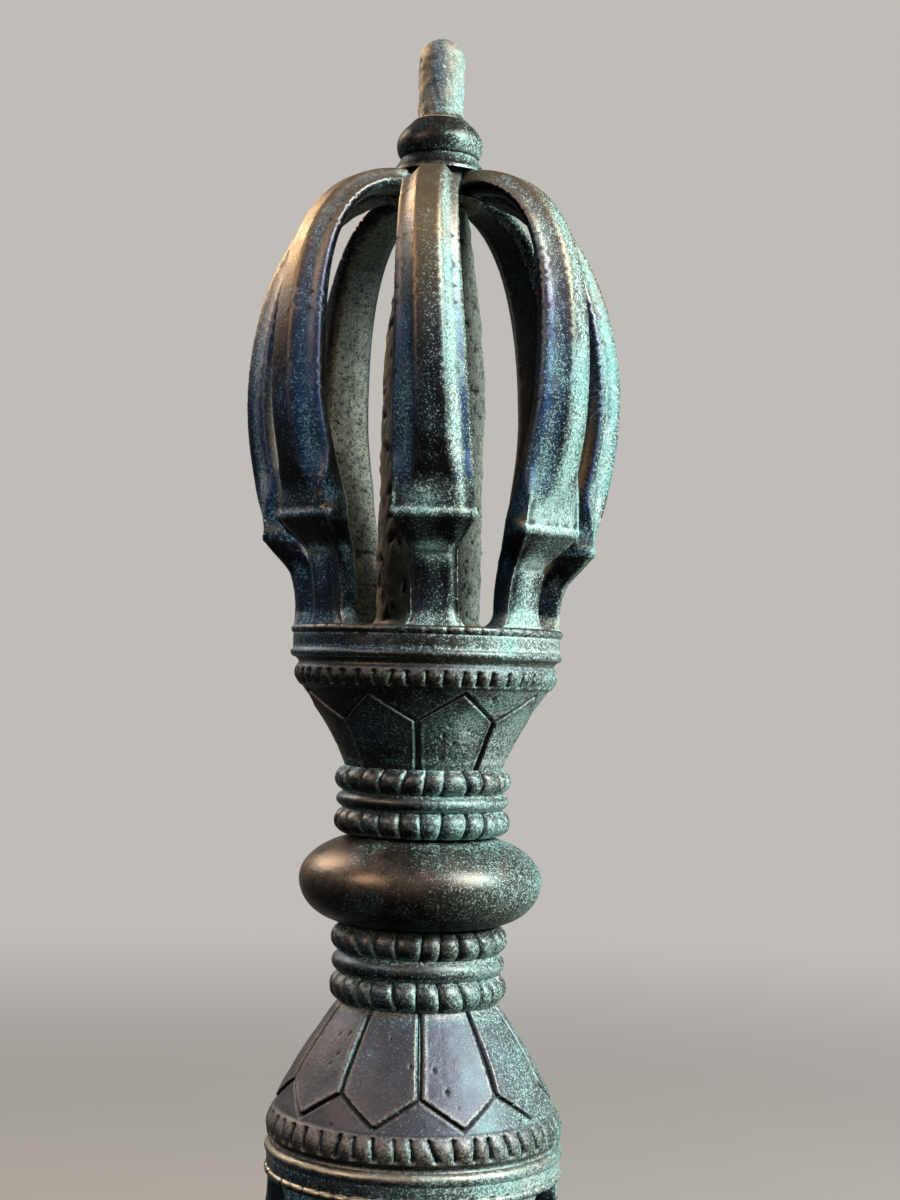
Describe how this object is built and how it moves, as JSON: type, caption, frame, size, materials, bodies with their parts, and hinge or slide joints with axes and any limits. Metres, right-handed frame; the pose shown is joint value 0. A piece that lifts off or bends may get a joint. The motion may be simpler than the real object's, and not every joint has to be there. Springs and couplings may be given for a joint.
{
  "type": "vajra",
  "caption": "Double-ended bronze vajra sceptre: bowed outer prongs close round a straight shaft at each end of a lotus-cup grip with a central bulb.",
  "frame": {"origin": "middle of the central bulb, on the long axis", "axes": "+Z along the long axis towards the head shown whole in the picture, -Y towards the prong that faces the viewer"},
  "size_m": [0.0422, 0.0423, 0.1851],
  "materials": {
    "bulb_bronze": "satin",
    "neck_bronze": "satin",
    "lotus_bronze": "satin",
    "prong_bronze": "satin",
    "shaft_bronze": "matte",
    "crown_bronze": "satin",
    "core_bronze": "satin"
  },
  "bodies": {
    "root": {"bulb": "bulb_bronze", "core_rod": "core_bronze", "upper_inner_bead_ring": "neck_bronze", "upper_plain_ring": "neck_bronze", "upper_outer_bead_ring": "neck_bronze", "upper_lotus_cup": "lotus_bronze", "upper_rim_disc": "lotus_bronze", "upper_central_prong": "shaft_bronze", "upper_crown_collar": "crown_bronze", "lower_inner_bead_ring": "neck_bronze", "lower_plain_ring": "neck_bronze", "lower_outer_bead_ring": "neck_bronze", "lower_lotus_cup": "lotus_bronze", "lower_rim_disc": "lotus_bronze", "lower_central_prong": "shaft_bronze", "lower_crown_collar": "crown_bronze", "upper_prong_1": "prong_bronze", "upper_prong_2": "prong_bronze", "upper_prong_3": "prong_bronze", "upper_prong_4": "prong_bronze", "upper_prong_5": "prong_bronze", "upper_prong_6": "prong_bronze", "upper_prong_7": "prong_bronze", "upper_prong_8": "prong_bronze", "lower_prong_1": "prong_bronze", "lower_prong_2": "prong_bronze", "lower_prong_3": "prong_bronze", "lower_prong_4": "prong_bronze", "lower_prong_5": "prong_bronze", "lower_prong_6": "prong_bronze", "lower_prong_7": "prong_bronze", "lower_prong_8": "prong_bronze"}
  },
  "joints": []
}
